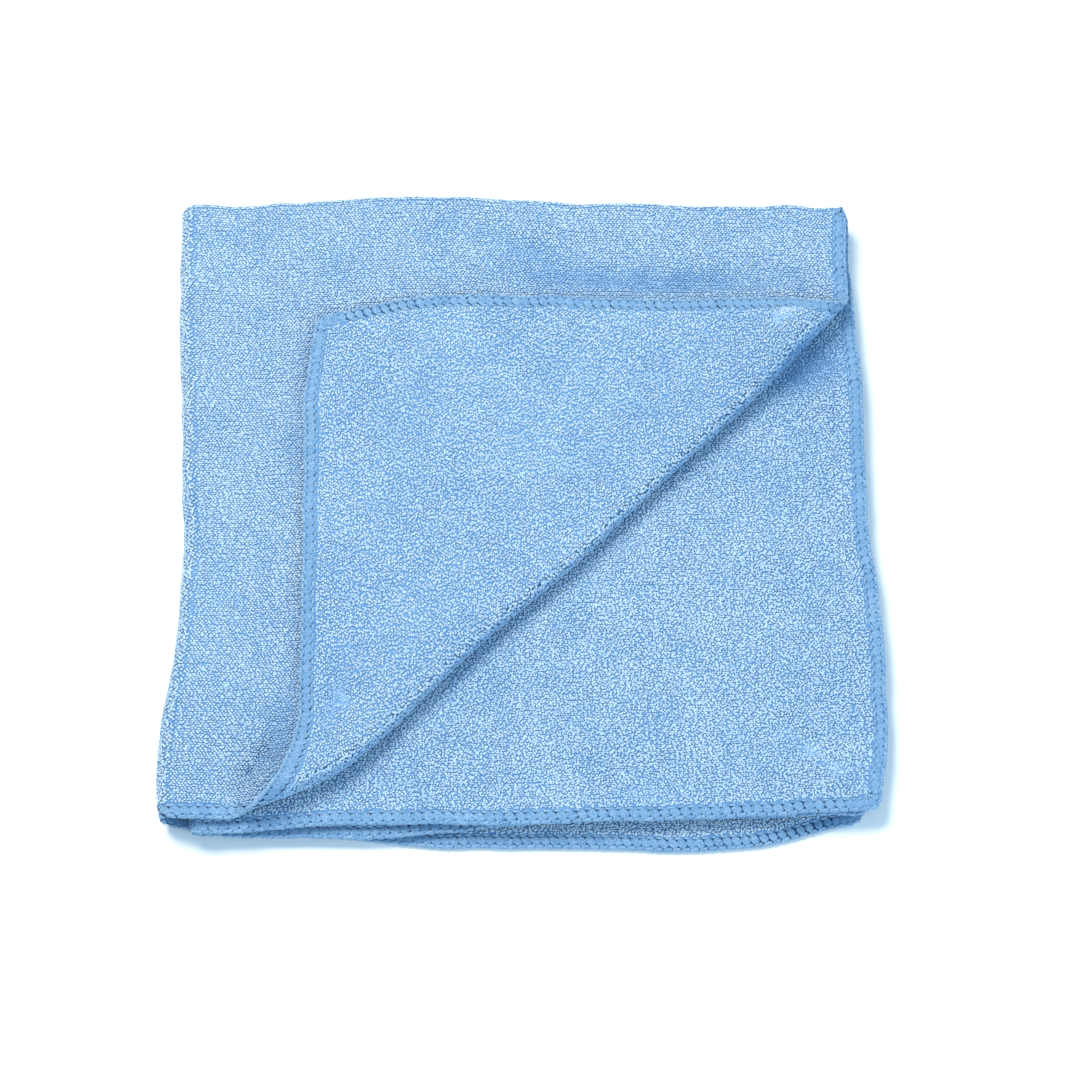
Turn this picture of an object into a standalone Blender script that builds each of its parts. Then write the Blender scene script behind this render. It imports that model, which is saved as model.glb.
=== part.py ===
"""Terry microfibre cloth, cut 400 x 400 mm, folded twice into a 200 mm square of four layers.

The first fold brings the far half under the near half and lies along the top edge, as two
separate bends. The second fold wraps that pair round itself and lies along the left edge. The
free corner of the top layer is turned back over the diagonal in a loose roll and lies face
down on its own layer. Lengths are in millimetres until the mesh is placed, in metres, +Z up.
The origin is the middle of the footprint, on the surface that the cloth lies on.
"""

import math
from collections import namedtuple

import bmesh
import bpy
import numpy as np
from mathutils import Vector

MM = 0.001

# The cloth
CUT = 400.0  # side of the square as it was cut and edged
SIDE = CUT / 2  # side of the folded square
THICK = 2.2  # one layer, with the pile of both its faces
HEM = 4.0  # width of the overlocked edge, which also rounds the corners
STEP = 2.6  # from the middle of one layer to the middle of the next

# The two folds
PAIR_RADIUS = STEP / 2  # the first fold bends one layer over the next
WRAP_RADIUS = STEP  # the second fold bends the pair of layers round itself
PAIR_QUARTER = math.pi / 2 * PAIR_RADIUS
WRAP_QUARTER = math.pi / 2 * WRAP_RADIUS
LEFT_CENTRE = -SIDE / 2 + WRAP_RADIUS + STEP / 2 + THICK / 2
TOP_CENTRE = SIDE / 2 - PAIR_RADIUS - THICK / 2

# The mesh
FOLD_CELLS = 8  # cells round each half turn
FIELD_CELLS = 15  # cells from a fold to the hem
HEM_CELLS = 2
ROLL_CELLS = 8  # creases round the turned-back corner

# How far, in mm, each layer's hem stands beyond the square. Layers count from the top, and
# share runs from the fold at 0 to the far corner at 1.
Layer = namedtuple("Layer", "share first second third fourth")
BOTTOM_HEMS = (
    Layer(0.00, -2.9, 0.5, 0.0, -3.5),
    Layer(0.12, -3.8, -1.3, 0.1, -1.7),
    Layer(0.24, -3.6, -2.7, 0.7, -0.4),
    Layer(0.38, -3.0, -2.8, -1.6, 2.1),
    Layer(0.52, -3.6, -3.2, -4.4, 2.2),
    Layer(0.65, -4.0, -4.0, -5.4, 2.8),
    Layer(0.75, -4.2, -4.8, -5.6, 3.1),
    Layer(0.86, -2.8, -5.6, -6.0, 1.3),
    Layer(0.93, -3.2, -6.1, -6.3, -2.1),
    Layer(1.00, -4.6, -7.0, -6.8, -5.9),
)
RIGHT_HEMS = (
    Layer(0.00, -2.9, -2.2, -2.8, -3.4),
    Layer(0.12, -3.4, -2.0, -2.4, -3.0),
    Layer(0.20, -2.9, -0.9, -2.0, -2.8),
    Layer(0.27, 0.3, 0.0, -1.6, -2.4),
    Layer(0.36, 1.5, 0.2, -1.2, -2.0),
    Layer(0.50, 1.4, 0.5, -0.8, -1.6),
    Layer(0.63, 2.0, 2.6, 0.2, -0.6),
    Layer(0.76, 2.1, 4.1, 0.9, 0.2),
    Layer(0.86, 0.7, 4.3, 0.9, 0.0),
    Layer(0.93, -1.5, 3.6, 0.0, -0.8),
    Layer(1.00, -4.8, 2.0, -2.5, -3.1),
)

# How far each fold stands beyond the square, along the fold.
TopFold = namedtuple("TopFold", "share upper_pair lower_pair")
TOP_FOLDS = (
    TopFold(0.00, 0.6, 0.3),
    TopFold(0.07, 0.6, -0.4),
    TopFold(0.15, 1.8, 0.2),
    TopFold(0.24, 2.9, 1.4),
    TopFold(0.32, 3.7, 2.0),
    TopFold(0.40, 3.6, 2.4),
    TopFold(0.50, 2.8, 2.2),
    TopFold(0.58, 1.6, 1.0),
    TopFold(0.70, 1.2, 0.2),
    TopFold(0.84, 0.2, -0.8),
    TopFold(0.92, 0.7, -0.6),
    TopFold(1.00, -1.2, -1.4),
)
LeftFold = namedtuple("LeftFold", "share outer inner")
LEFT_FOLDS = (
    LeftFold(0.00, 2.8, 2.4),
    LeftFold(0.10, 2.8, 2.2),
    LeftFold(0.27, 1.4, 0.8),
    LeftFold(0.40, 0.2, -0.4),
    LeftFold(0.50, -0.4, -1.0),
    LeftFold(0.57, -1.2, -1.8),
    LeftFold(0.63, -0.8, -1.6),
    LeftFold(0.70, -0.1, -1.4),
    LeftFold(0.78, 1.5, -1.2),
    LeftFold(0.86, 3.8, -1.6),
    LeftFold(0.92, 4.6, -2.0),
    LeftFold(1.00, 3.4, -2.6),
)

# The turned-back corner, along the diagonal from the bottom hem to the right hem: nose is how
# far the roll reaches past the diagonal of the square, radius and rise are those of its bend,
# across and upwards, and settle is how far past the bend the corner comes to rest.
Roll = namedtuple("Roll", "along nose radius rise settle")
ROLL = (
    Roll(-128, 12.2, 2.6, 3.6, 14),
    Roll(-117, 15.1, 2.5, 3.4, 14),
    Roll(-107, 18.9, 2.3, 3.1, 16),
    Roll(-96, 22.3, 2.4, 2.9, 20),
    Roll(-83, 23.4, 2.2, 2.5, 24),
    Roll(-60, 23.0, 2.0, 2.2, 27),
    Roll(-35, 22.8, 2.0, 2.1, 28),
    Roll(-5, 24.2, 2.0, 2.1, 28),
    Roll(40, 23.8, 2.0, 2.1, 27),
    Roll(66, 24.0, 1.6, 2.1, 25),
    Roll(84, 23.7, 1.9, 2.8, 20),
    Roll(100, 22.8, 2.1, 3.4, 17),
    Roll(114, 22.4, 2.0, 3.0, 14),
)
ROLL_BENDS = (-98.0, -70.0, -20.0, 55.0)  # where the creases of the roll change direction

# Where the layers stand further apart: centre, reach and the share that it adds to the height.
Swell = namedtuple("Swell", "x y reach_x reach_y rise")
SWELLS = (
    Swell(-100, 0, 13, 400, 0.14),
    Swell(0, 100, 400, 13, 0.12),
    Swell(-88, -88, 26, 24, 0.16),
    Swell(-58, 22, 30, 45, 0.06),
    Swell(8, -104, 40, 12, 0.14),
    Swell(88, -98, 20, 18, 0.30),
    Swell(100, 20, 12, 60, 0.12),
)


def read(rows, column, at):
    """A column of a table at each station, on a smooth curve through its rows."""
    stations = np.array([row[0] for row in rows], float)
    values = np.array([getattr(row, column) for row in rows], float)
    slopes = np.gradient(values, stations)
    at = np.clip(at, stations[0], stations[-1])
    k = np.clip(np.searchsorted(stations, at, side="right") - 1, 0, len(rows) - 2)
    width = stations[k + 1] - stations[k]
    t = (at - stations[k]) / width
    return (
        (2 * t**3 - 3 * t**2 + 1) * values[k]
        + (t**3 - 2 * t**2 + t) * width * slopes[k]
        + (3 * t**2 - 2 * t**3) * values[k + 1]
        + (t**3 - t**2) * width * slopes[k + 1]
    )


def ease(share):
    share = np.clip(share, 0, 1)
    return share * share * (3 - 2 * share)


def round_corners(a, b):
    """The flat sheet's points, with its four corners rounded to the width of the hem."""
    i = np.clip((np.abs(a) - (SIDE - HEM)) / HEM, 0, 1)
    j = np.clip((np.abs(b) - (SIDE - HEM)) / HEM, 0, 1)
    in_a = HEM * i * (1 - np.sqrt(1 - j * j / 2))
    in_b = HEM * j * (1 - np.sqrt(1 - i * i / 2))
    return a - np.sign(a) * in_a, b - np.sign(b) * in_b


def turn_back(x, y):
    """The top layer's points with its corner rolled back, and how high they are lifted."""
    along, across = (x + y) / math.sqrt(2), (x - y) / math.sqrt(2)
    radius, rise, settle = (read(ROLL, name, along) for name in Roll._fields[2:])
    start, bend = read(ROLL, "nose", along) - radius - THICK / 2, (radius + rise) / 2
    beyond = across - start
    angle = np.clip(beyond / bend, 0, math.pi)
    past = np.clip(beyond - math.pi * bend, 0, None)
    rest = STEP + (2 * rise - STEP) * (1 - ease(past / settle))
    lift = np.where(past > 0, rest, rise * (1 - np.cos(angle)))
    rolled = np.where(beyond > 0, start + radius * np.sin(angle) - past, across)
    return (along + rolled) / math.sqrt(2), (along - rolled) / math.sqrt(2), lift


def folded(a, b):
    """Where the cloth's middle surface lies. a is the distance from the second fold, b from
    the first: a > 0 is the upper pair of layers, and b > 0 the outer layer of each pair."""
    a, b = round_corners(a, b)
    wrap = np.clip(a / WRAP_RADIUS, -math.pi / 2, math.pi / 2)
    pair = np.clip(b / PAIR_RADIUS, -math.pi / 2, math.pi / 2)
    run_a = np.clip(np.abs(a) - WRAP_QUARTER, 0, None)
    run_b = np.clip(np.abs(b) - PAIR_QUARTER, 0, None)
    p, q = run_a / (SIDE - WRAP_QUARTER), run_b / (SIDE - PAIR_QUARTER)
    upper, outer = (1 + np.sin(wrap)) / 2, (1 + np.sin(pair)) / 2

    def hem(rows, share):
        first, second, third, fourth = (
            read(rows, column, share) for column in Layer._fields[1:]
        )
        return upper * (outer * first + (1 - outer) * second) + (1 - upper) * (
            (1 - outer) * third + outer * fourth
        )

    left = outer * read(LEFT_FOLDS, "outer", q) + (1 - outer) * read(
        LEFT_FOLDS, "inner", q
    )
    top = upper * read(TOP_FOLDS, "upper_pair", p) + (1 - upper) * read(
        TOP_FOLDS, "lower_pair", p
    )
    bend = WRAP_RADIUS + PAIR_RADIUS * np.sin(pair)
    x = LEFT_CENTRE - bend * np.cos(wrap) + run_a
    x = x - (1 - p) * left + p * hem(RIGHT_HEMS, q)
    y = TOP_CENTRE + PAIR_RADIUS * np.cos(pair) - run_b
    y = y + (1 - q) * top - q * hem(BOTTOM_HEMS, p)
    z = 1.5 * STEP + bend * np.sin(wrap)

    turned_x, turned_y, lift = turn_back(x, y)
    top_layer = (a > WRAP_QUARTER) & (b > PAIR_QUARTER)
    x, y = np.where(top_layer, turned_x, x), np.where(top_layer, turned_y, y)
    z = z + np.where(top_layer, lift, 0)

    rise = 1.0
    for swell in SWELLS:
        rise = rise + swell.rise * np.exp(
            -(((x - swell.x) / swell.reach_x) ** 2)
            - ((y - swell.y) / swell.reach_y) ** 2
        )
    return x, y, THICK / 2 + z * rise


def grid_lines(quarter):
    """Distances from a fold of the lines of the mesh: close round the bend and in the hem."""
    half = np.concatenate(
        [
            np.linspace(0, quarter, FOLD_CELLS // 2 + 1),
            np.linspace(quarter, SIDE - HEM, FIELD_CELLS + 1)[1:],
            np.linspace(SIDE - HEM, SIDE, HEM_CELLS + 1)[1:],
        ]
    )
    return np.concatenate([-half[:0:-1], half])


def crease(bm):
    """Straight lines across the top layer's flat corner, where the roll bends it, with no
    other corner of the mesh between them."""
    to_along = Vector((1, -1, 0)) / math.sqrt(2)
    to_across = Vector((1, 1, 0)) / math.sqrt(2)
    # the flat point over the middle of the square
    centre = Vector((WRAP_QUARTER - LEFT_CENTRE, PAIR_QUARTER + TOP_CENTRE, 0))

    def top_layer(point):
        return point.x > WRAP_QUARTER and point.y > PAIR_QUARTER

    def station(along, k):
        """Point k round the roll's bend, counted from where it leaves the layer."""
        nose, radius, rise = (float(read(ROLL, name, along)) for name in Roll._fields[1:4])
        across = nose - radius - THICK / 2 + math.pi * (radius + rise) / 2 * k / ROLL_CELLS
        return centre + along * to_along + across * to_across

    def line(low, high, k):
        a, b = station(low, k), station(high, k)
        direction = (b - a).normalized()
        return a, Vector((-direction.y, direction.x, 0))

    def cut(within, point, normal):
        faces = [
            face
            for face in bm.faces
            if top_layer(face.calc_center_median())
            and within(face.calc_center_median() - centre)
        ]
        geometry = faces + list(
            dict.fromkeys(item for face in faces for item in face.edges[:] + face.verts[:])
        )
        made = bmesh.ops.bisect_plane(
            bm, geom=geometry, dist=1e-3, plane_co=point, plane_no=normal
        )
        return [item for item in made["geom_cut"] if isinstance(item, bmesh.types.BMVert)]

    # the creases change direction on short lines across the roll
    for along in ROLL_BENDS:
        cut(
            lambda middle: 5 < middle.dot(to_across) < 45,
            centre + along * to_along,
            to_along,
        )
    on_creases = set()
    ends = (ROLL[0].along, *ROLL_BENDS, ROLL[-1].along)
    parts = tuple(zip(ends[:-1], ends[1:]))

    def within(low, high, along):
        return (low == ends[0] or along >= low) and (high == ends[-1] or along < high)

    for low, high in parts:
        for k in range(ROLL_CELLS + 3):
            on_creases.update(
                cut(
                    lambda middle: within(low, high, middle.dot(to_along)),
                    *line(low, high, k),
                )
            )

    between = []
    for vert in bm.verts:
        if vert in on_creases or not top_layer(vert.co):
            continue
        for low, high in parts:
            if within(low, high, (vert.co - centre).dot(to_along)):
                sides = [
                    (vert.co - point).dot(normal)
                    for point, normal in (line(low, high, k) for k in (0, ROLL_CELLS + 2))
                ]
                if sides[0] * sides[1] < 0:
                    between.append(vert)
    bmesh.ops.dissolve_verts(bm, verts=between)


def sheet_mesh(name):
    lines_a, lines_b = grid_lines(WRAP_QUARTER), grid_lines(PAIR_QUARTER)
    count = len(lines_a) - 1
    bm = bmesh.new()
    bmesh.ops.create_grid(bm, x_segments=count, y_segments=count, size=1.0)
    for vert in bm.verts:
        i = round((vert.co.x + 1) / 2 * count)
        j = round((vert.co.y + 1) / 2 * count)
        vert.co = (lines_a[i], lines_b[j], 0)
    crease(bm)
    bmesh.ops.triangulate(
        bm, faces=[face for face in bm.faces if len(face.verts) > 4]
    )

    flat = np.array([vert.co[:2] for vert in bm.verts])
    x, y, z = folded(flat[:, 0], flat[:, 1])
    for vert, place in zip(bm.verts, zip(x, y, z)):
        vert.co = Vector(place) * MM
    mesh = bpy.data.meshes.new(name)
    bm.to_mesh(mesh)
    bm.free()
    mesh.shade_smooth()
    return mesh


def terry(name):
    material = bpy.data.materials.new(name)
    material.use_nodes = True
    shader = material.node_tree.nodes["Principled BSDF"]
    shader.inputs["Base Color"].default_value = (0.33, 0.54, 0.80, 1.0)
    shader.inputs["Roughness"].default_value = 0.95
    shader.inputs["Metallic"].default_value = 0.0
    material.diffuse_color = (0.33, 0.54, 0.80, 1.0)
    return material


def main():
    for obj in list(bpy.data.objects):
        bpy.data.objects.remove(obj, do_unlink=True)
    collection = bpy.data.collections.new("microfibre_cloth")
    bpy.context.scene.collection.children.link(collection)

    cloth = bpy.data.objects.new("cloth", sheet_mesh("cloth"))
    cloth.data.materials.append(terry("terry"))
    collection.objects.link(cloth)
    shell = cloth.modifiers.new("thickness", "SOLIDIFY")
    shell.thickness = THICK * MM
    shell.offset = 0.0
    shell.use_even_offset = False
    shell.use_quality_normals = True


main()
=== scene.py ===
"""Looks of the folded terry microfibre cloth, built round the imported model.

The base knit is one thin closed sheet on the folds of the solid. Terry loops stand on it where
any of it shows, in rows as the cloth was knitted, and an overlock stitch runs all round its
edge. Lengths are in millimetres until a mesh is made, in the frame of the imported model.
"""

import math
from collections import namedtuple

import bpy
import numpy as np
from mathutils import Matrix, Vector
from mathutils.bvhtree import BVHTree


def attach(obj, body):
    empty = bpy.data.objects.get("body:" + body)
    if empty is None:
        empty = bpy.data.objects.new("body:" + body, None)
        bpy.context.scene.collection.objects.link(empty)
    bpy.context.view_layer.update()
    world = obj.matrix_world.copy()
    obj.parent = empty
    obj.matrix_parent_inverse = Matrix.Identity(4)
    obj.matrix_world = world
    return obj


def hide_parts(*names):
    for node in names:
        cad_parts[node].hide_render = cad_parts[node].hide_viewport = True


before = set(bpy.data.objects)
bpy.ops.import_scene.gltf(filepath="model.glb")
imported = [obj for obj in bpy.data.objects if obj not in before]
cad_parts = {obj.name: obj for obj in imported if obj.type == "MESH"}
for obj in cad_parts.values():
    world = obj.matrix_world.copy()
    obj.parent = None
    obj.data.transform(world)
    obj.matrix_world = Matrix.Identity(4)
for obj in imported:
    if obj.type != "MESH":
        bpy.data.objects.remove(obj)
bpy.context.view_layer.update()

MM = 0.001
FLOOR = 0.03  # nothing reaches lower, so the cloth stands on the floor and not in it

# ---------------------------------------------------------------- the folded cloth

CUT = 400.0
SIDE = CUT / 2
THICK = 2.2
HEM = 4.0
STEP = 2.6
PAIR_RADIUS = STEP / 2
WRAP_RADIUS = STEP
PAIR_QUARTER = math.pi / 2 * PAIR_RADIUS
WRAP_QUARTER = math.pi / 2 * WRAP_RADIUS
LEFT_CENTRE = -SIDE / 2 + WRAP_RADIUS + STEP / 2 + THICK / 2
TOP_CENTRE = SIDE / 2 - PAIR_RADIUS - THICK / 2

# How far, in mm, each layer's hem stands beyond the square, from the fold to the far corner.
Layer = namedtuple("Layer", "share first second third fourth")
BOTTOM_HEMS = (
    Layer(0.00, -2.9, 0.5, 0.0, -3.5),
    Layer(0.12, -3.8, -1.3, 0.1, -1.7),
    Layer(0.24, -3.6, -2.7, 0.7, -0.4),
    Layer(0.38, -3.0, -2.8, -1.6, 2.1),
    Layer(0.52, -3.6, -3.2, -4.4, 2.2),
    Layer(0.65, -4.0, -4.0, -5.4, 2.8),
    Layer(0.75, -4.2, -4.8, -5.6, 3.1),
    Layer(0.86, -2.8, -5.6, -6.0, 1.3),
    Layer(0.93, -3.2, -6.1, -6.3, -2.1),
    Layer(1.00, -4.6, -7.0, -6.8, -5.9),
)
RIGHT_HEMS = (
    Layer(0.00, -3.2, -2.6, -2.9, -3.5),
    Layer(0.12, -3.4, -2.0, -2.4, -3.0),
    Layer(0.20, -2.9, -0.9, -2.0, -2.8),
    Layer(0.27, 0.3, 0.0, -1.6, -2.4),
    Layer(0.36, 1.5, 0.2, -1.2, -2.0),
    Layer(0.50, 1.4, 0.5, -0.8, -1.6),
    Layer(0.63, 2.0, 2.6, 0.2, -0.6),
    Layer(0.76, 2.1, 4.1, 0.9, 0.2),
    Layer(0.86, 0.7, 4.3, 0.9, 0.0),
    Layer(0.93, -1.5, 3.6, 0.0, -0.8),
    Layer(1.00, -4.8, 1.0, -2.5, -3.1),
)
TopFold = namedtuple("TopFold", "share upper_pair lower_pair")
TOP_FOLDS = (
    TopFold(0.00, 0.6, 0.3),
    TopFold(0.07, 0.6, -0.4),
    TopFold(0.15, 1.8, 0.2),
    TopFold(0.24, 2.9, 1.4),
    TopFold(0.32, 3.7, 2.0),
    TopFold(0.40, 3.6, 2.4),
    TopFold(0.50, 2.8, 2.2),
    TopFold(0.58, 1.6, 1.0),
    TopFold(0.70, 1.2, 0.2),
    TopFold(0.84, 0.2, -0.8),
    TopFold(0.91, 0.8, -0.6),
    TopFold(0.96, -0.3, -1.0),
    TopFold(1.00, 0.4, -1.4),
)
LeftFold = namedtuple("LeftFold", "share outer inner")
LEFT_FOLDS = (
    LeftFold(0.00, 2.8, 2.4),
    LeftFold(0.10, 2.8, 2.2),
    LeftFold(0.27, 1.4, 0.8),
    LeftFold(0.40, 0.2, -0.4),
    LeftFold(0.50, -0.4, -1.0),
    LeftFold(0.57, -1.2, -1.8),
    LeftFold(0.63, -0.8, -1.6),
    LeftFold(0.70, -0.1, -1.4),
    LeftFold(0.78, 1.5, -1.2),
    LeftFold(0.86, 3.8, -1.6),
    LeftFold(0.92, 4.6, -2.0),
    LeftFold(1.00, 3.4, -2.6),
)
Roll = namedtuple("Roll", "along nose radius rise settle")
ROLL = (
    Roll(-128, 12.2, 2.6, 3.6, 14),
    Roll(-117, 15.1, 2.5, 3.4, 14),
    Roll(-107, 18.9, 2.3, 3.1, 16),
    Roll(-96, 22.3, 2.1, 2.7, 20),
    Roll(-83, 23.4, 1.9, 2.3, 24),
    Roll(-60, 23.0, 1.7, 2.0, 27),
    Roll(-35, 22.8, 1.7, 1.9, 28),
    Roll(-5, 24.2, 1.7, 1.9, 28),
    Roll(40, 23.8, 1.7, 1.9, 27),
    Roll(66, 24.0, 1.6, 2.1, 25),
    Roll(84, 23.7, 1.9, 2.8, 20),
    Roll(100, 22.8, 2.1, 3.4, 17),
    Roll(114, 22.4, 2.0, 3.0, 14),
)
TIGHTER = 0.8  # how much less the bare knit's bend is than its middle on the solid
Swell = namedtuple("Swell", "x y reach_x reach_y rise")
SWELLS = (
    Swell(-100, 0, 13, 400, 0.14),
    Swell(0, 100, 400, 13, 0.12),
    Swell(-88, -88, 26, 24, 0.16),
    Swell(-58, 22, 30, 45, 0.06),
    Swell(8, -104, 40, 12, 0.14),
    Swell(88, -98, 20, 18, 0.30),
    Swell(100, 20, 12, 60, 0.12),
)

# Soft troughs, and ridges where depth is below 0: centre, half length, half width, the angle of
# their length from +X, depth, and shade, in mm and degrees. Shade is painted shade: how much
# darker the pile's colour is painted there, for the shade in the trough or a shadow cast on it,
# and painted light where it is below 0.
Trough = namedtuple("Trough", "x y length width turn depth shade")
TROUGHS = (
    Trough(34, 75, 42, 4.5, -1, 0.8, 0.21),
    Trough(2, 83, 20, 5, -26, 0.9, 0.11),
    Trough(58, 74, 30, 4, 2, 0.6, 0.08),
    Trough(-66, 28, 17, 3.5, 88, 0.9, 0.14),
    Trough(-68, -67, 17, 4, 78, 1.3, 0.18),
    Trough(-76, -83, 14, 4, 62, 1.3, 0.08),
    Trough(-53, -62, 12, 3.5, 78, 1.0, 0.13),
    # painted shadow: the pile of the second layer darkened under the roll's upper end
    Trough(86, 46, 12, 7, 45, 1.0, 0.36),
    Trough(13, 15, 16, 8, -20, 0.5, 0.03),
    Trough(44, 34, 20, 14, 40, 0.5, 0.05),
    Trough(-45, -19, 14, 6, 10, 0.4, 0.02),
    Trough(76, 8, 16, 7, 60, 0.7, 0.05),
    Trough(88, -18, 14, 5, 76, 0.7, 0.05),
    Trough(61, -67, 18, 9, -40, 0.5, 0.0),
    Trough(84, -76, 16, 3, -38, 0.4, 0.06),
    Trough(38, -89, 12, 7, 10, 0.4, 0.0),
    Trough(14, -46, 14, 7, 40, 0.4, 0.0),
    Trough(-86, -30, 9, 8, 0, 0.5, 0.04),
    Trough(-27, 45, 15, 7, 80, 0.35, 0.0),
    Trough(-13, 86, 18, 7, -10, 0.35, 0.0),
    Trough(-20, -42, 16, 7, 45, -0.35, 0.0),
    Trough(22, 28, 12, 7, 70, -0.4, 0.0),
    Trough(60, -36, 22, 12, 30, -0.4, -0.02),
    Trough(-88, -62, 8, 16, 10, -0.5, -0.02),
    Trough(30, 88, 40, 4, -4, -0.4, -0.02),
)


def read(rows, column, at):
    """A column of a table at each station, on a smooth curve through its rows."""
    stations = np.array([row[0] for row in rows], float)
    values = np.array([getattr(row, column) for row in rows], float)
    slopes = np.gradient(values, stations)
    at = np.clip(at, stations[0], stations[-1])
    k = np.clip(np.searchsorted(stations, at, side="right") - 1, 0, len(rows) - 2)
    width = stations[k + 1] - stations[k]
    t = (at - stations[k]) / width
    return (
        (2 * t**3 - 3 * t**2 + 1) * values[k]
        + (t**3 - 2 * t**2 + t) * width * slopes[k]
        + (3 * t**2 - 2 * t**3) * values[k + 1]
        + (t**3 - t**2) * width * slopes[k + 1]
    )


def ease(share):
    share = np.clip(share, 0, 1)
    return share * share * (3 - 2 * share)


def noise(x, y, size, seed):
    """Smooth unevenness from -1 to 1 that changes over about that size."""
    lattice = np.random.default_rng(seed).uniform(-1, 1, (128, 128))
    u, v = x / size + 64, y / size + 64
    i, j = np.floor(u).astype(int) % 127, np.floor(v).astype(int) % 127
    s, t = ease(u - np.floor(u)), ease(v - np.floor(v))
    low = lattice[i, j] * (1 - s) + lattice[i + 1, j] * s
    high = lattice[i, j + 1] * (1 - s) + lattice[i + 1, j + 1] * s
    return low * (1 - t) + high * t


def round_corners(a, b):
    i = np.clip((np.abs(a) - (SIDE - HEM)) / HEM, 0, 1)
    j = np.clip((np.abs(b) - (SIDE - HEM)) / HEM, 0, 1)
    in_a = HEM * i * (1 - np.sqrt(1 - j * j / 2))
    in_b = HEM * j * (1 - np.sqrt(1 - i * i / 2))
    return a - np.sign(a) * in_a, b - np.sign(b) * in_b


def turn_back(x, y):
    """The top layer's points with its corner rolled back, and how high they are lifted."""
    along, across = (x + y) / math.sqrt(2), (x - y) / math.sqrt(2)
    radius, rise, settle = (read(ROLL, name, along) for name in Roll._fields[2:])
    nose, radius = read(ROLL, "nose", along) - THICK / 2, radius - TIGHTER
    start, bend = nose - radius, (radius + rise) / 2
    beyond = across - start
    angle = np.clip(beyond / bend, 0, math.pi)
    past = np.clip(beyond - math.pi * bend, 0, None)
    rest = STEP + (2 * rise - STEP) * (1 - ease(past / settle))
    lift = np.where(past > 0, rest, rise * (1 - np.cos(angle)))
    rolled = np.where(beyond > 0, start + radius * np.sin(angle) - past, across)
    return (along + rolled) / math.sqrt(2), (along - rolled) / math.sqrt(2), lift


def troughs(x, y, column):
    """The sum of one column of the troughs, each fading away from its middle."""
    total = 0 * x
    for trough in TROUGHS:
        turn = math.radians(trough.turn)
        u = (x - trough.x) * math.cos(turn) + (y - trough.y) * math.sin(turn)
        v = (y - trough.y) * math.cos(turn) - (x - trough.x) * math.sin(turn)
        total = total + getattr(trough, column) * np.exp(
            -((u / trough.length) ** 2) - (v / trough.width) ** 2
        )
    return total


def unevenness(x, y):
    """How far the top of the pile of layers stands up or sinks, in mm."""
    return 0.22 * noise(x, y, 21, 3) + 0.14 * noise(x, y, 11, 4) - troughs(x, y, "depth")


def surface(a, b):
    """Where the cloth's middle surface lies. a is the distance from the second fold, b from
    the first: a > 0 is the upper pair of layers, and b > 0 the outer layer of each pair."""
    a, b = round_corners(a, b)
    wrap = np.clip(a / WRAP_RADIUS, -math.pi / 2, math.pi / 2)
    pair = np.clip(b / PAIR_RADIUS, -math.pi / 2, math.pi / 2)
    run_a = np.clip(np.abs(a) - WRAP_QUARTER, 0, None)
    run_b = np.clip(np.abs(b) - PAIR_QUARTER, 0, None)
    p, q = run_a / (SIDE - WRAP_QUARTER), run_b / (SIDE - PAIR_QUARTER)
    upper, outer = (1 + np.sin(wrap)) / 2, (1 + np.sin(pair)) / 2

    def hem(rows, share):
        first, second, third, fourth = (
            read(rows, column, share) for column in Layer._fields[1:]
        )
        return upper * (outer * first + (1 - outer) * second) + (1 - upper) * (
            (1 - outer) * third + outer * fourth
        )

    left = outer * read(LEFT_FOLDS, "outer", q) + (1 - outer) * read(
        LEFT_FOLDS, "inner", q
    )
    top = upper * read(TOP_FOLDS, "upper_pair", p) + (1 - upper) * read(
        TOP_FOLDS, "lower_pair", p
    )
    bend = WRAP_RADIUS + PAIR_RADIUS * np.sin(pair)
    x = LEFT_CENTRE - bend * np.cos(wrap) + run_a
    x = x - (1 - p) * left + p * hem(RIGHT_HEMS, q)
    y = TOP_CENTRE + PAIR_RADIUS * np.cos(pair) - run_b
    y = y + (1 - q) * top - q * hem(BOTTOM_HEMS, p)
    z = 1.5 * STEP + bend * np.sin(wrap)

    # the edge is drawn in a little where it goes round a fold
    x = x - 1.3 * p**30 * np.exp(-((b / 2.5) ** 2))
    y = y + 0.8 * q**30 * np.exp(-((a / 3.5) ** 2))

    # the edge and the folds waver a little, each in its own plane
    x = x + p * p * 0.35 * noise(b, 0 * b, 9, 21) + (1 - p) ** 8 * 0.3 * noise(b, 0 * b, 7, 22)
    y = y + q * q * 0.35 * noise(a, 0 * a, 9, 23) + (1 - q) ** 8 * 0.3 * noise(a, 0 * a, 7, 24)

    turned_x, turned_y, lift = turn_back(x, y)
    top_layer = (a > WRAP_QUARTER) & (b > PAIR_QUARTER)
    x, y = np.where(top_layer, turned_x, x), np.where(top_layer, turned_y, y)
    z = z + np.where(top_layer, lift, 0)

    rise = 1.0
    for swell in SWELLS:
        rise = rise + swell.rise * np.exp(
            -(((x - swell.x) / swell.reach_x) ** 2)
            - ((y - swell.y) / swell.reach_y) ** 2
        )
    z = z * rise
    z = z + np.clip(z / 8, 0, 1.2) * unevenness(x, y)
    return np.stack([x, y, THICK / 2 + z], axis=-1)


def unit(v):
    return v / np.maximum(np.linalg.norm(v, axis=-1, keepdims=True), 1e-12)


def frames(a, b):
    """Points of the middle surface, the directions of a and b there, and the normal of the
    face that is up on the top layer."""
    reach = 0.1
    point = surface(a, b)
    along_a = unit(surface(a + reach, b) - surface(a - reach, b))
    along_b = unit(surface(a, b + reach) - surface(a, b - reach))
    return point, along_a, along_b, -unit(np.cross(along_a, along_b))


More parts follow.
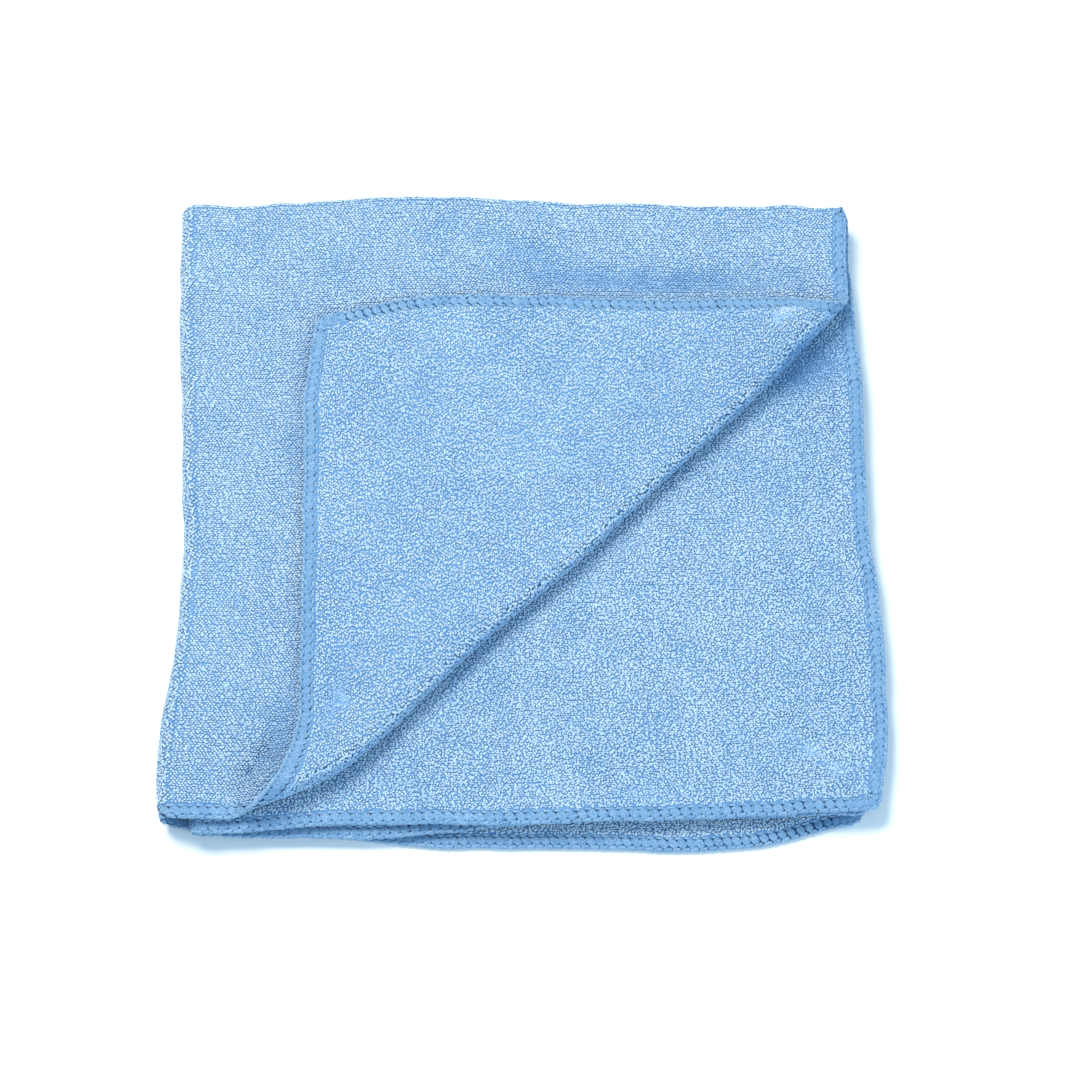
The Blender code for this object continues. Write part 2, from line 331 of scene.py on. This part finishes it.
def make_piece(name, points, quads, triangles, layers, material):
    """A smooth mesh object from points in mm, with its layers of one number for each point."""
    mesh = bpy.data.meshes.new(name)
    sizes = np.concatenate(
        [np.full(len(quads), 4, np.int32), np.full(len(triangles), 3, np.int32)]
    )
    corners = np.concatenate([np.ravel(quads), np.ravel(triangles)]).astype(np.int32)
    points = np.array(points, np.float32)
    points[:, 2] = np.maximum(points[:, 2], FLOOR)
    mesh.vertices.add(len(points))
    mesh.vertices.foreach_set("co", np.ravel(points * MM))
    mesh.loops.add(len(corners))
    mesh.loops.foreach_set("vertex_index", corners)
    mesh.polygons.add(len(sizes))
    mesh.polygons.foreach_set(
        "loop_start", np.concatenate([[0], np.cumsum(sizes)[:-1]]).astype(np.int32)
    )
    mesh.update(calc_edges=True)
    mesh.validate()
    for layer, values in layers.items():
        mesh.attributes.new(layer, "FLOAT", "POINT").data.foreach_set(
            "value", np.array(values, np.float32)
        )
    mesh.shade_smooth()
    mesh.materials.append(material)
    piece = bpy.data.objects.new(name, mesh)
    bpy.context.scene.collection.objects.link(piece)
    return piece


# ---------------------------------------------------------------- materials


def colour_nodes(material):
    tree = material.node_tree
    shader = tree.nodes["Principled BSDF"]

    def add(kind, **settings):
        node = tree.nodes.new(kind)
        for key, value in settings.items():
            setattr(node, key, value)
        return node

    return tree, shader, add


def link_ramp(add, tree, factor, stops):
    ramp = add("ShaderNodeValToRGB")
    while len(ramp.color_ramp.elements) < len(stops):
        ramp.color_ramp.elements.new(0.5)
    for element, (position, colour) in zip(ramp.color_ramp.elements, stops):
        element.position = position
        element.color = (*colour, 1.0)
    tree.links.new(factor, ramp.inputs["Fac"])
    return ramp.outputs["Color"]


def yarn_material(name, stops, spread, mottle, fibre_scale, sheen):
    """Yarn whose colour runs from stops[0] to stops[-1] with the layer called tone, which carries
    the yarn's own varying tone and painted light and shade, mottled over centimetres and flecked
    over tenths of a millimetre."""
    material = bpy.data.materials.new(name)
    material.use_nodes = True
    tree, shader, add = colour_nodes(material)
    place = add("ShaderNodeTexCoord").outputs["Object"]

    tone = add("ShaderNodeAttribute", attribute_name="tone").outputs["Fac"]
    broad = add("ShaderNodeTexNoise")
    broad.inputs["Scale"].default_value = 45.0
    broad.inputs["Detail"].default_value = 3.0
    tree.links.new(place, broad.inputs["Vector"])
    fine = add("ShaderNodeTexNoise")
    fine.inputs["Scale"].default_value = fibre_scale
    fine.inputs["Detail"].default_value = 2.0
    tree.links.new(place, fine.inputs["Vector"])

    def around(output, amount):
        """amount times how far the noise is from its middle"""
        node = add("ShaderNodeMath", operation="MULTIPLY_ADD")
        tree.links.new(output, node.inputs[0])
        node.inputs[1].default_value = amount
        node.inputs[2].default_value = -amount / 2
        return node.outputs[0]

    def plus(first, second):
        node = add("ShaderNodeMath", operation="ADD")
        tree.links.new(first, node.inputs[0])
        tree.links.new(second, node.inputs[1])
        return node.outputs[0]

    total = plus(
        plus(tone, around(broad.outputs["Fac"], mottle)),
        around(fine.outputs["Fac"], spread),
    )
    tree.links.new(link_ramp(add, tree, total, stops), shader.inputs["Base Color"])

    rough = add("ShaderNodeMapRange")
    rough.inputs["To Min"].default_value = 0.78
    rough.inputs["To Max"].default_value = 0.98
    tree.links.new(fine.outputs["Fac"], rough.inputs["Value"])
    tree.links.new(rough.outputs["Result"], shader.inputs["Roughness"])
    shader.inputs["Specular IOR Level"].default_value = 0.25
    shader.inputs["Sheen Weight"].default_value = sheen
    shader.inputs["Sheen Roughness"].default_value = 0.45
    shader.inputs["Sheen Tint"].default_value = (0.80, 0.92, 1.0, 1.0)

    bump = add("ShaderNodeBump")
    bump.inputs["Strength"].default_value = 0.5
    bump.inputs["Distance"].default_value = 0.00012
    tree.links.new(fine.outputs["Fac"], bump.inputs["Height"])
    tree.links.new(bump.outputs["Normal"], shader.inputs["Normal"])
    return material


def ground_material(name):
    """The base knit, painted darker than the loops as painted shade between them, and the
    flattened loops of the face that the cloth lies on.
    """
    material = bpy.data.materials.new(name)
    material.use_nodes = True
    tree, shader, add = colour_nodes(material)
    place = add("ShaderNodeTexCoord").outputs["Object"]

    cells = add("ShaderNodeTexVoronoi", feature="SMOOTH_F1")
    cells.inputs["Scale"].default_value = 760.0
    cells.inputs["Smoothness"].default_value = 0.35
    cells.inputs["Randomness"].default_value = 0.85
    stretch = add("ShaderNodeMapping")
    stretch.inputs["Scale"].default_value = (0.8, 1.25, 1.0)
    tree.links.new(place, stretch.inputs["Vector"])
    tree.links.new(stretch.outputs["Vector"], cells.inputs["Vector"])
    broad = add("ShaderNodeTexNoise")
    broad.inputs["Scale"].default_value = 45.0
    broad.inputs["Detail"].default_value = 3.0
    tree.links.new(place, broad.inputs["Vector"])

    # painted shade: the flattened loops lighter in their middles and darker between them, where
    # the bump sinks
    looped_with_painted_gaps = link_ramp(
        add,
        tree,
        cells.outputs["Distance"],
        ((0.10, (0.44, 0.66, 0.90)), (0.45, (0.30, 0.52, 0.82)), (0.80, (0.10, 0.24, 0.48))),
    )
    # painted shade: the bare knit is darker than the loops, for the shade in the gaps between
    # them
    knit = link_ramp(
        add,
        tree,
        broad.outputs["Fac"],
        ((0.3, (0.112, 0.26, 0.498)), (0.7, (0.155, 0.324, 0.57))),
    )
    bare = add("ShaderNodeAttribute", attribute_name="bare").outputs["Fac"]
    mix = add("ShaderNodeMix", data_type="RGBA")
    tree.links.new(bare, mix.inputs["Factor"])
    tree.links.new(knit, mix.inputs["A"])
    tree.links.new(looped_with_painted_gaps, mix.inputs["B"])
    # painted shade: in the hem the knit is painted near black, for the shade between the stitches
    edge = add("ShaderNodeAttribute", attribute_name="edge").outputs["Fac"]
    deep = link_ramp(
        add, tree, broad.outputs["Fac"], ((0.3, (0.02, 0.08, 0.20)), (0.7, (0.03, 0.10, 0.24)))
    )
    both = add("ShaderNodeMix", data_type="RGBA")
    tree.links.new(edge, both.inputs["Factor"])
    tree.links.new(mix.outputs["Result"], both.inputs["A"])
    tree.links.new(deep, both.inputs["B"])
    tree.links.new(both.outputs["Result"], shader.inputs["Base Color"])

    shader.inputs["Roughness"].default_value = 0.92
    shader.inputs["Specular IOR Level"].default_value = 0.2
    shader.inputs["Sheen Weight"].default_value = 0.3
    shader.inputs["Sheen Tint"].default_value = (0.80, 0.92, 1.0, 1.0)
    bump = add("ShaderNodeBump", invert=True)
    bump.inputs["Strength"].default_value = 0.9
    bump.inputs["Distance"].default_value = 0.0006
    tree.links.new(cells.outputs["Distance"], bump.inputs["Height"])
    tree.links.new(bump.outputs["Normal"], shader.inputs["Normal"])
    return material


# the yarn's colours from dark to light; the dark end serves the painted shade on the loops, in
# the troughs and round the roll, as well as their own varying tone
LOOP_STOPS = (
    (0.00, (0.068, 0.20, 0.425)),
    (0.30, (0.22, 0.403, 0.635)),
    (0.60, (0.475, 0.617, 0.75)),
    (1.00, (0.665, 0.782, 0.862)),
)
# the threads' colours from dark to light; the dark end also serves the painted shade at the
# strands' ends
THREAD_STOPS = (
    (0.00, (0.03, 0.11, 0.27)),
    (0.36, (0.12, 0.26, 0.45)),
    (0.62, (0.215, 0.355, 0.52)),
    (1.00, (0.35, 0.52, 0.70)),
)
LOOPS = yarn_material("terry_yarn", LOOP_STOPS, 0.55, 0.14, 2400.0, 0.30)
THREADS = yarn_material("overlock_yarn", THREAD_STOPS, 1.5, 0.10, 2400.0, 0.20)
GROUND = ground_material("base_knit")

# ---------------------------------------------------------------- the base knit

CORE = 0.6  # half its thickness, and inside the overlock
CORE_IN_HEM = 0.15
CORE_IN_ROLL = 0.25  # on the inner side of the roll, where the pile is pressed flat
CORE_ON_ROLL = 0.74  # on its outer side, where the feet of the loops show between them
CORE_INSET = 0.5  # its edge lies inside the overlock's rim
HEM_REACH = 4.1  # how far in from the edge the overlock lies


def grid_lines(quarter, near, far):
    """Distances from a fold of the sheet's lines, with cells of about near mm in the upper
    layers and of far mm in the others."""

    def half(cell):
        return np.concatenate(
            [
                np.linspace(0, quarter, 7),
                np.linspace(
                    quarter, SIDE - 4.6, round((SIDE - 4.6 - quarter) / cell) + 1
                )[1:],
                SIDE - np.array([3.9, 3.6, 2.0, CORE_INSET]),
            ]
        )

    return np.concatenate([-half(far)[:0:-1], half(near)])


lines_a, lines_b = grid_lines(WRAP_QUARTER, 2.1, 6.0), grid_lines(PAIR_QUARTER, 2.1, 6.0)
grid_a, grid_b = np.meshgrid(lines_a, lines_b, indexing="ij")
middle, _, _, normal = frames(grid_a, grid_b)
rows, columns = grid_a.shape
index = np.arange(rows * columns).reshape(rows, columns)
cell = np.stack(
    [index[:-1, :-1], index[1:, :-1], index[1:, 1:], index[:-1, 1:]], axis=-1
).reshape(-1, 4)
rim = np.concatenate(
    [index[:-1, 0], index[-1, :-1], index[:0:-1, -1], index[0, :0:-1]]
)
ahead, below = np.roll(rim, -1), rows * columns
in_hem = np.maximum(np.abs(grid_a), np.abs(grid_b)) > SIDE - 3.75
in_roll = (grid_a > WRAP_QUARTER) & (grid_b > PAIR_QUARTER) & (np.abs(normal[..., 2]) < 0.94)
plain_half = np.where(in_hem, CORE_IN_HEM, CORE)
back_half = np.where(in_roll & ~in_hem, CORE_ON_ROLL, plain_half)[..., None]
face_half = np.where(in_roll & ~in_hem, CORE_IN_ROLL, plain_half)[..., None]
core_points = np.concatenate(
    [
        (middle + face_half * normal).reshape(-1, 3),
        (middle - back_half * normal).reshape(-1, 3),
    ]
)
core_quads = np.concatenate(
    [
        cell[:, ::-1],
        cell + below,
        np.stack([rim, ahead, ahead + below, rim + below], axis=-1),
    ]
)

# ---------------------------------------------------------------- where it shows

TILT = math.radians(24)
VIEWS = [Vector((0, -math.sin(TILT), math.cos(TILT)))] + [
    Vector((math.cos(turn) * math.cos(up), math.sin(turn) * math.cos(up), math.sin(up)))
    for up, count in ((0.20, 12), (0.45, 12), (0.8, 8), (1.3, 4))
    for turn in np.arange(count) * 2 * math.pi / count + up
]
tree = BVHTree.FromPolygons(core_points.tolist(), core_quads.tolist())
PATCH = 3.0
patches = np.arange(-SIDE + PATCH / 2, SIDE, PATCH)


def shown(side):
    """For each patch of the flat sheet, whether a face of it shows from above or beside."""
    a, b = (grid.ravel() for grid in np.meshgrid(patches, patches, indexing="ij"))
    point, _, _, up = frames(a, b)
    up = up * side
    seen = np.zeros(len(a))
    for k, (start, out) in enumerate(zip((point + up * 1.15).tolist(), up.tolist())):
        start, out = Vector(start), Vector(out)
        for view in VIEWS:
            if view.dot(out) > 0.02 and tree.ray_cast(start, view)[0] is None:
                seen[k] = 1
                break
    seen = seen.reshape(len(patches), len(patches))
    grown = np.pad(seen, 1)
    return sum(
        grown[1 + i : len(patches) + 1 + i, 1 + j : len(patches) + 1 + j]
        for i, j in ((0, 0), (1, 0), (-1, 0), (0, 1), (0, -1))
    )


def look_up(field, a, b):
    i = np.clip(((a + SIDE) / PATCH).astype(int), 0, len(patches) - 1)
    j = np.clip(((b + SIDE) / PATCH).astype(int), 0, len(patches) - 1)
    return field[i, j]


face_shown, back_shown = shown(1), shown(-1)

bare = np.concatenate(
    [
        (look_up(face_shown, grid_a, grid_b) == 0).ravel(),
        np.maximum(look_up(back_shown, grid_a, grid_b) == 0, 0.7 * in_roll).ravel(),
    ]
)
cloth = make_piece(
    "cloth_sheet",
    core_points,
    core_quads,
    np.zeros((0, 3), int),
    # edge marks the hem, where the knit is painted near black as painted shade
    {"bare": bare, "edge": np.tile(in_hem.ravel(), 2)},
    GROUND,
)

# ---------------------------------------------------------------- terry loops

PIECE_TRIANGLES = 195000
rng = np.random.default_rng(17)


def loop_field(side, row_pitch, pitch, turn, scatter, jitter, low, region):
    """Flat places of loops in rows along a, the angle of each from its row, and its height,
    in every second row lower by that much."""
    limit = SIDE - HEM_REACH - 0.2
    row = np.arange(-limit, limit, row_pitch)
    station = np.arange(-limit, limit, pitch)
    b, a = np.meshgrid(row, station, indexing="ij")
    second = (np.arange(len(row)) % 2)[:, None]
    a, height = a + pitch / 2 * second, 1.03 - low * second + 0 * a
    b = b + 0.5 * noise(a, b, 16, 31 + side) + rng.normal(0, jitter, a.shape) * row_pitch
    a = a + 0.6 * noise(a, b, 19, 33 + side) + rng.normal(0, jitter, a.shape) * pitch
    angle = math.radians(turn) + math.radians(scatter) * (
        rng.normal(0, 0.8, a.shape) + 0.7 * noise(a, b, 5, 35 + side)
    )
    a, b, angle, height = a.ravel(), b.ravel(), angle.ravel(), height.ravel()
    keep = (np.abs(a) < limit) & (np.abs(b) < limit)
    keep &= look_up(face_shown if side > 0 else back_shown, a, b) > 0
    keep &= region(a, b)
    return a[keep], b[keep], angle[keep], height[keep]


# a loop, lying in the pile: its two ends, two points of its ridge and its two sides
LOOP_FACES = np.array(
    [(0, 5, 2), (5, 3, 2), (5, 1, 3), (4, 0, 2), (4, 2, 3), (4, 3, 1), (0, 4, 5), (4, 1, 5)]
)
ROLL_SHADE = 0.22  # painted shade: how much darker the pile round the roll is painted, the more it turns from up
TOP_PAINTED_LIGHT, LOWER_PAINTED_LIGHT = 0.045, 0.12  # painted light: how much lighter the loops of the top layer and of the lower pair are painted, the lower pair against the shade of the layers above
# painted light and shade on each loop's six points: its two ends, down in the pile, and its two
# sides darker, its ridge lighter
LOOP_PAINTED_LIGHT_AND_SHADE = np.array([-0.24, -0.24, 0.12, 0.12, -0.16, -0.16])


def loop_points(side, a, b, angle, height, length, width):
    """The six points of each loop that stands on one face."""
    point, along_a, along_b, up = frames(a, b)
    up = up * side
    count = len(a)

    def vary(amount):
        return 1 + amount * np.clip(rng.normal(0, 1, count), -2, 2)

    u = unit(along_a * np.cos(angle)[:, None] + along_b * np.sin(angle)[:, None])
    v = np.cross(up, u)
    half, wide, tall = length / 2 * vary(0.15), width / 2 * vary(0.14), height * vary(0.05)
    curl, lean = 0.10 * rng.normal(0, 1, count), 0.07 * rng.normal(0, 1, count)
    slip = 0.12 * rng.normal(0, 1, (2, count))
    base, shoulder = CORE - 0.06, CORE + 0.42 * (tall - CORE)

    def place(x, y, z):
        return point + u * x[:, None] + v * y[:, None] + up * np.broadcast_to(z, count)[:, None]

    return np.stack(
        [
            place(-half, -curl, base),
            place(half, -curl, base),
            place(-0.42 * half, 0.4 * curl + lean, tall * vary(0.02)),
            place(0.42 * half, 0.4 * curl + lean, tall * vary(0.02)),
            place(slip[0], wide + 0.3 * curl, shoulder),
            place(slip[1], -wide + 0.3 * curl, shoulder),
        ],
        axis=1,
    )


def loop_pieces(name, fields):
    """Pieces of joined loops, from fields of (side, a, b, angle, height, length, width)."""
    points = np.concatenate([loop_points(*field) for field in fields])
    tone = np.concatenate([0.50 + 0.05 * noise(a, b, 6, 41) for _, a, b, *_ in fields])
    tone = tone + rng.normal(0, 0.06, len(tone))
    # painted shade in the troughs and under the roll, painted light where shade is below 0
    tone = tone - troughs(points[:, 2, 0], points[:, 2, 1], "shade")
    # painted light, by layer
    layer_painted_light = (LOWER_PAINTED_LIGHT, 0.0, TOP_PAINTED_LIGHT)
    tone = tone + np.concatenate(
        [np.choose((a > 0) * (1 + (b > 0)), layer_painted_light) for _, a, b, *_ in fields]
    )
    # painted shade on the roll: the loops darker where their face leans away from up
    tone = tone - ROLL_SHADE * np.concatenate(
        [
            (1 - np.abs(frames(a, b)[3][..., 2])) * top_layer(a - 6, b - 4)
            for _, a, b, *_ in fields
        ]
    )
    most = PIECE_TRIANGLES // len(LOOP_FACES)
    pieces = []
    for number in range(math.ceil(len(tone) / most)):
        part = slice(number * most, (number + 1) * most)
        first = 6 * np.arange(len(tone[part]))[:, None, None]
        pieces.append(
            make_piece(
                f"{name}_{number + 1}",
                points[part].reshape(-1, 3),
                np.zeros((0, 4), int),
                (first + LOOP_FACES).reshape(-1, 3),
                {"tone": np.clip(tone[part][:, None] + LOOP_PAINTED_LIGHT_AND_SHADE, 0, 1).ravel()},
                LOOPS,
            )
        )
    return pieces


def upper_pair(a, b):
    return a > 0


def lower_pair(a, b):
    return a <= 0


def top_layer(a, b):
    return (a > 0) & (b > 0)


def other_layers(a, b):
    return ~top_layer(a, b)


def leaning(a, b, upright):
    return np.abs(frames(a, b)[3][..., 2]) < upright


def round_a_bend(a, b):
    """Where the pile opens outwards round the two folds, and more of it is needed."""
    return ~top_layer(a - 6, b - 4) & leaning(a, b, 0.95)


def round_the_roll(a, b):
    return top_layer(a - 6, b - 4) & leaning(a, b, 0.935)


face_loops = loop_pieces(
    "face_loops",
    [
        (1, *loop_field(1, 0.70, 0.98, 16, 24, 0.14, 0.16, upper_pair), 1.26, 0.96),
        (1, *loop_field(1, 0.66, 1.00, 16, 24, 0.20, 0.04, round_a_bend), 1.40, 1.06),
        (1, *loop_field(1, 1.00, 1.40, 36, 24, 0.15, 0.0, lower_pair), 2.00, 1.35),
    ],
)
back_loops = loop_pieces(
    "back_loops",
    [
        (-1, *loop_field(-1, 0.64, 0.98, 5, 44, 0.24, 0.16, top_layer), 1.26, 0.86),
        (-1, *loop_field(-1, 0.60, 0.90, 45, 60, 0.24, 0.04, round_the_roll), 1.36, 1.00),
        (-1, *loop_field(-1, 0.70, 0.80, 30, 150, 0.22, 0.06, other_layers), 1.22, 0.96),
    ],
)

# ---------------------------------------------------------------- overlocked edge

RIM_RADIUS = 0.32  # of the thread's centreline round the edge
RIM_QUARTER = math.pi / 2 * RIM_RADIUS
EDGE_INSET = 0.25
INNER = 3.45  # across the hem, from the edge to the needle holes
TURN = 9.0  # how long before a corner the stitches begin to turn
OUTER = 0.80  # and to where the loopers cross
STITCHES = (136, 149, 154, 142)  # on each side of the square

# sections of a thread, across it and out from the cloth, going round it once
RIBBON = ((1, -0.8), (0.94, 0.45), (0.72, 0.85), (0, 1), (-0.72, 0.85), (-0.94, 0.45), (-1, -0.8))
CORD = ((1.0, 0.0), (0.0, 1.0), (-1.0, 0.0), (0.0, -1.0))


def edge_place(s, depth):
    """The flat point at s mm round the edge and that deep inside it."""
    s = np.mod(s, 4 * CUT)
    side = np.minimum(s // CUT, 3).astype(int)
    reach, run = SIDE - depth, s - CUT * side - SIDE
    # only the last bit before a corner is drawn in to the corner of the inner lines
    past = np.clip(np.abs(run) - (SIDE - TURN), 0, TURN)
    run = np.sign(run) * (np.abs(run) - past * (depth / TURN))
    a = np.choose(side, [run, reach, -run, -reach])
    b = np.choose(side, [-reach, run, reach, -run])
    return a, b


def hem_frames(s, c):
    """Points on the hem at s mm round the edge and c mm across it, from the back's needle
    holes round the edge to the face's; the directions of s and c there, and the way out."""
    turn = np.clip(c / RIM_RADIUS, -math.pi / 2, math.pi / 2)
    flat = np.clip(np.abs(c) - RIM_QUARTER, 0, None)
    depth = EDGE_INSET + RIM_RADIUS * (1 - np.cos(turn)) + flat
    point, _, _, up = frames(*edge_place(s, depth))
    reach = 0.15
    along = unit(
        surface(*edge_place(s + reach, depth)) - surface(*edge_place(s - reach, depth))
    )
    outward = np.cross(up, along)
    sine, cosine = np.sin(turn)[..., None], np.cos(turn)[..., None]
    out = up * sine + outward * cosine
    round_it = up * cosine - outward * sine
    height = RIM_RADIUS * np.sin(turn) * (1 + 0.30 * np.exp(-(((flat - 1.6) / 1.3) ** 2)))
    return point + up * height[..., None], along, round_it, out


def tubes(section, centre, across, out, wide, tall):
    """Points and faces of closed tubes. centre, across and out have a row for each tube and
    ring; wide and tall are the half sizes of the section along across and out."""
    count, rings = centre.shape[:2]
    sides, (u, v) = len(section), np.array(section).T
    points = (
        centre[:, :, None]
        + across[:, :, None] * (wide[..., None] * u)[..., None]
        + out[:, :, None] * (tall[..., None] * v)[..., None]
    )
    first = (np.arange(count) * rings * sides)[:, None, None]
    ring = (np.arange(rings - 1) * sides)[None, :, None]
    here = np.arange(sides)[None, None, :]
    after = (here + 1) % sides
    quads = np.stack(
        [
            first + ring + here,
            first + ring + after,
            first + ring + sides + after,
            first + ring + sides + here,
        ],
        axis=-1,
    ).reshape(-1, 4)
    fan = np.arange(1, sides - 1)
    low = np.stack([0 * fan, fan + 1, fan], axis=-1)
    high = np.stack([0 * fan, fan, fan + 1], axis=-1) + (rings - 1) * sides
    caps = (np.concatenate([low, high])[None] + first).reshape(-1, 3)
    return points.reshape(-1, 3), quads, caps


def strands(s, c, wide, thick, lift):
    """Tubes laid on the hem along rows of stations (s, c)."""
    point, along, round_it, out = hem_frames(s, c)
    step_s, step_c = np.gradient(s, axis=1), np.gradient(c, axis=1)
    tangent = unit(along * step_s[..., None] + round_it * step_c[..., None])
    across = unit(np.cross(out, tangent))
    return point + out * lift[..., None], -across, out, wide / 2, thick / 2


def stitches():
    start, pitch = [], []
    for side, count in enumerate(STITCHES):
        start.append(CUT * (side + np.arange(count) / count))
        pitch.append(np.full(count, CUT / count))
    return np.concatenate(start), np.concatenate(pitch)


def stitch_piece(name, section, rings, tone):
    points, quads, caps = tubes(section, *rings)
    shade = np.broadcast_to(tone, rings[0].shape[:2]).ravel()
    return make_piece(
        name, points, quads, caps, {"tone": np.repeat(shade, len(section))}, THREADS
    )


start, pitch = stitches()
count = len(start)
start = start + rng.normal(0, 0.06, count)
one = np.ones((count, 1))


def each(values, spread):
    """A row of values for every stitch, each row a little more or less."""
    return np.array(values) * (1 + spread * rng.normal(0, 1, (count, 1)))


def slanted(side):
    """The looper's strands on one face, from the needle holes out to the edge."""
    t = np.array([0.0, 0.18, 0.5, 0.82, 1.0])
    c = (INNER + (OUTER - INNER) * t) * one
    s = start[:, None] + pitch[:, None] * (0.5 + (t if side < 0 else -t))
    slope = math.atan2(INNER - OUTER, CUT / np.mean(STITCHES))
    wide = 1.38 * pitch[:, None] * math.sin(slope) * each([0.34, 0.84, 1.0, 0.84, 0.34], 0.02)
    thick = each([0.18, 0.24, 0.26, 0.24, 0.18], 0.04)
    lift = each([0.02, 0.12, 0.15, 0.12, 0.02], 0.06)
    # painted shade: each strand darker at its ends, where it goes down into the cloth
    tone = 0.47 + 0.03 * rng.normal(0, 1, (count, 1)) + np.array([-0.20, 0.0, 0.02, 0.0, -0.20])
    return strands(s, side * c, wide, thick, lift), tone


def rims():
    """Where the loopers wrap the edge between two stitches."""
    t = np.array([-1, -0.72, -0.3, 0.3, 0.72, 1])
    s = start[:, None] + pitch[:, None] * (0.5 + 0.08 * t)
    c = (OUTER + 0.05) * t * one
    wide = pitch[:, None] * each([0.60, 0.98, 1.02, 1.02, 0.98, 0.60], 0.03)
    thick = each([0.26, 0.44, 0.50, 0.50, 0.44, 0.26], 0.06)
    lift = each([0.02, 0.10, 0.12, 0.12, 0.10, 0.02], 0.2)
    # painted shade: each strand darker at its ends, where it goes down into the cloth
    tone = 0.56 + 0.05 * rng.normal(0, 1, (count, 1)) + np.array([-0.14, 0, 0.02, 0.02, 0, -0.14])
    return strands(s, c, wide, thick, lift), tone


def needle(side):
    """The straight stitches between the needle holes."""
    t = np.array([0.06, 0.3, 0.7, 0.94])
    s = start[:, None] + pitch[:, None] * t
    c = side * (INNER + 0.22 + 0.03 * rng.normal(0, 1, (count, 1))) * np.ones(4)
    wide = each([0.38, 0.86, 0.86, 0.38], 0.08)
    thick = each([0.30, 0.54, 0.54, 0.30], 0.06)
    lift = each([0.06, 0.26, 0.26, 0.06], 0.1)
    # painted shade: each stitch darker at its ends, at the needle holes
    tone = 0.64 + 0.05 * rng.normal(0, 1, (count, 1)) + np.array([-0.12, 0.02, 0.02, -0.12])
    return strands(s, c, wide, thick, lift), tone


edge_pieces = [
    stitch_piece("overlock_face", RIBBON, *slanted(1)),
    stitch_piece("overlock_back", RIBBON, *slanted(-1)),
    stitch_piece("overlock_rim", RIBBON, *rims()),
    stitch_piece("needle_face", CORD, *needle(1)),
    stitch_piece("needle_back", CORD, *needle(-1)),
]

# ---------------------------------------------------------------- the cloth's pieces

on_it = face_loops + back_loops + edge_pieces
for piece in [cloth, *on_it]:
    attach(piece, "root")
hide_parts("cloth")

# ---------------------------------------------------------------- floor, light and camera

bpy.ops.mesh.primitive_plane_add(size=8.0, location=(0, 0, 0))
floor = bpy.context.object
floor.name = "floor"
paper = bpy.data.materials.new("paper")
paper.use_nodes = True
paper_tree, paper_shader, paper_add = colour_nodes(paper)
grain = paper_add("ShaderNodeTexNoise")
grain.inputs["Scale"].default_value = 60.0
paper_tree.links.new(
    link_ramp(
        paper_add,
        paper_tree,
        grain.outputs["Fac"],
        ((0.0, (0.90, 0.90, 0.90)), (1.0, (0.93, 0.93, 0.93))),
    ),
    paper_shader.inputs["Base Color"],
)
paper_shader.inputs["Roughness"].default_value = 0.9
floor.data.materials.append(paper)


def area_light(name, place, target, size, power, colour):
    light = bpy.data.lights.new(name, "AREA")
    light.shape = "DISK"
    light.size = size
    light.energy = power
    light.color = colour
    lamp = bpy.data.objects.new(name, light)
    lamp.location = place
    lamp.rotation_euler = (Vector(target) - Vector(place)).to_track_quat("-Z", "Y").to_euler()
    bpy.context.scene.collection.objects.link(lamp)
    return lamp


area_light("key", (-0.62, 0.66, 1.45), (0, 0, 0), 0.9, 34.5, (1.0, 0.94, 0.84))
area_light("fill", (0.85, -0.95, 0.75), (0, 0, 0), 1.2, 13.5, (0.62, 0.85, 1.0))

world = bpy.data.worlds.new("studio")
world.use_nodes = True
world.node_tree.nodes["Background"].inputs["Color"].default_value = (0.54, 0.78, 1.0, 1.0)
world.node_tree.nodes["Background"].inputs["Strength"].default_value = 0.66
bpy.context.scene.world = world

camera = bpy.data.objects.new("camera", bpy.data.cameras.new("camera"))
camera.location = (0.0055, -0.53476, 1.18761)
camera.rotation_euler = (TILT, 0, 0)
camera.data.sensor_width = 36.0
camera.data.lens = 147.33
bpy.context.scene.collection.objects.link(camera)
bpy.context.scene.camera = camera

bpy.context.scene.view_settings.view_transform = "Standard"
bpy.context.scene.view_settings.look = "None"

for piece in [cloth, *on_it]:
    print(piece.name, sum(len(face.vertices) - 2 for face in piece.data.polygons), "triangles")
